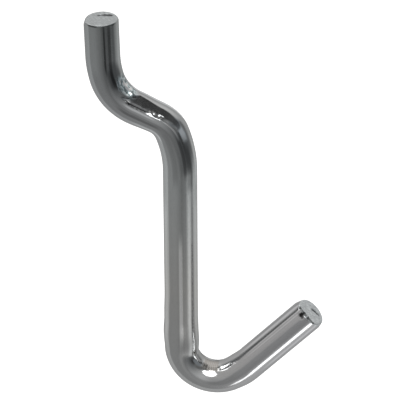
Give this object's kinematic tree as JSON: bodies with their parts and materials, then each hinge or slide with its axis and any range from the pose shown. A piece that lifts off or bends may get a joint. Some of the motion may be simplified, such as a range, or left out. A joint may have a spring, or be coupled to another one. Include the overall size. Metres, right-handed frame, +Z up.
{
  "type": "pegboard hook",
  "caption": "Bent round-wire pegboard hook: an upright prong behind the board, a sloping run through its hole, a long shank in front and a tip turned out and up.",
  "frame": {"origin": "on the wire's axis, halfway along the sloping run that crosses the board's hole", "axes": "-Y out of the board to the user, +Z up along the shank, X across the wire's plane, which is X = 0"},
  "size_m": [0.0052, 0.0348, 0.0619],
  "materials": {
    "plated_wire": "bright plated steel wire, drawn lines along it, matt tool marks inside the bends, sheared grey ends"
  },
  "bodies": {
    "root": {"hook": "plated_wire"}
  },
  "joints": []
}
